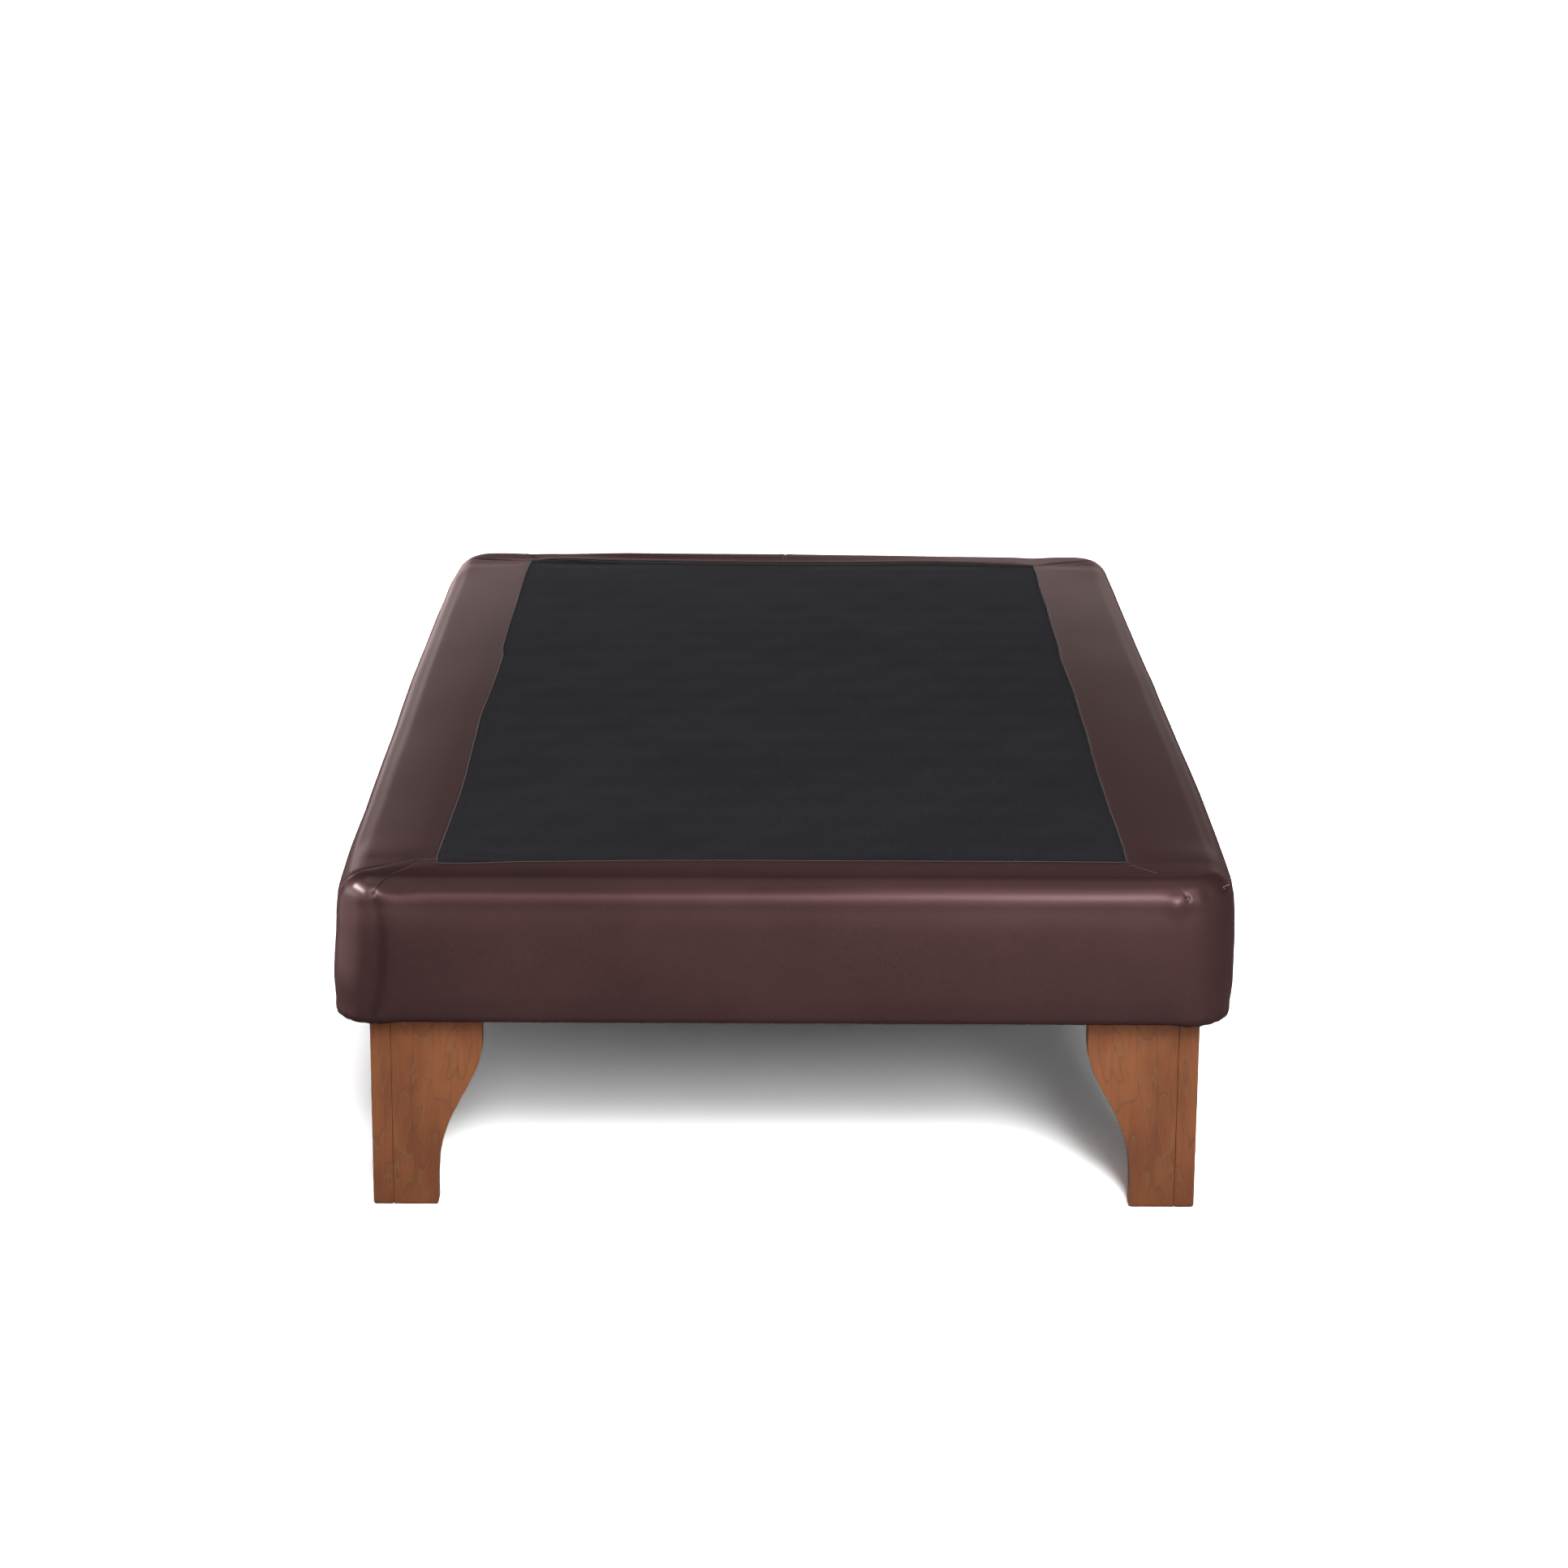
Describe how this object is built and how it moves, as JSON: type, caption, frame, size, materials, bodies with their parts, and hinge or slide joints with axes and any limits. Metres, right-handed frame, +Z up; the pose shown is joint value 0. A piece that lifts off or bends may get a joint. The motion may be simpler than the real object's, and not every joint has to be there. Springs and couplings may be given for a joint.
{
  "type": "upholstered bed base",
  "caption": "Low upholstered bed base with a rounded leatherette border, black cloth top and wooden bracket legs, for a mattress to rest on.",
  "frame": {"origin": "on the floor under the middle of the base's outline", "axes": "+X to the right as seen from the foot end, +Y to the head end, +Z up"},
  "size_m": [1.05, 1.9, 0.41],
  "materials": {
    "leatherette": "satin",
    "black_cloth": "matte",
    "dust_cloth": "matte",
    "foam": "matte",
    "hardboard": "matte",
    "pine": "matte",
    "beech": "matte",
    "leg_wood": "satin",
    "zinc_steel": "satin"
  },
  "bodies": {
    "root": {"cover_band": "leatherette", "cover_top_panel": "black_cloth", "dust_cover": "dust_cloth", "foam_top_sheet": "foam", "foam_foot_strip": "foam", "foam_head_strip": "foam", "foam_left_strip": "foam", "foam_right_strip": "foam", "hardboard_deck": "hardboard", "side_rail_left": "pine", "side_rail_right": "pine", "end_rail_foot": "pine", "end_rail_head": "pine", "centre_rail": "pine", "slat_01": "pine", "slat_02": "pine", "slat_03": "pine", "slat_04": "pine", "slat_05": "pine", "slat_06": "pine", "slat_07": "pine", "slat_08": "pine", "slat_09": "pine", "slat_10": "pine", "corner_post_foot_left": "pine", "corner_block_foot_left": "pine", "corner_post_foot_right": "pine", "corner_block_foot_right": "pine", "corner_post_head_left": "pine", "corner_block_head_left": "pine", "corner_post_head_right": "pine", "corner_block_head_right": "pine", "leg_side_board_foot_left": "leg_wood", "leg_end_board_foot_left": "leg_wood", "leg_block_foot_left": "pine", "leg_bolt_foot_left": "zinc_steel", "leg_washer_foot_left": "zinc_steel", "leg_tee_nut_foot_left": "zinc_steel", "leg_dowel_foot_left": "beech", "leg_side_board_foot_right": "leg_wood", "leg_end_board_foot_right": "leg_wood", "leg_block_foot_right": "pine", "leg_bolt_foot_right": "zinc_steel", "leg_washer_foot_right": "zinc_steel", "leg_tee_nut_foot_right": "zinc_steel", "leg_dowel_foot_right": "beech", "leg_side_board_head_left": "leg_wood", "leg_end_board_head_left": "leg_wood", "leg_block_head_left": "pine", "leg_bolt_head_left": "zinc_steel", "leg_washer_head_left": "zinc_steel", "leg_tee_nut_head_left": "zinc_steel", "leg_dowel_head_left": "beech", "leg_side_board_head_right": "leg_wood", "leg_end_board_head_right": "leg_wood", "leg_block_head_right": "pine", "leg_bolt_head_right": "zinc_steel", "leg_washer_head_right": "zinc_steel", "leg_tee_nut_head_right": "zinc_steel", "leg_dowel_head_right": "beech"}
  },
  "joints": []
}
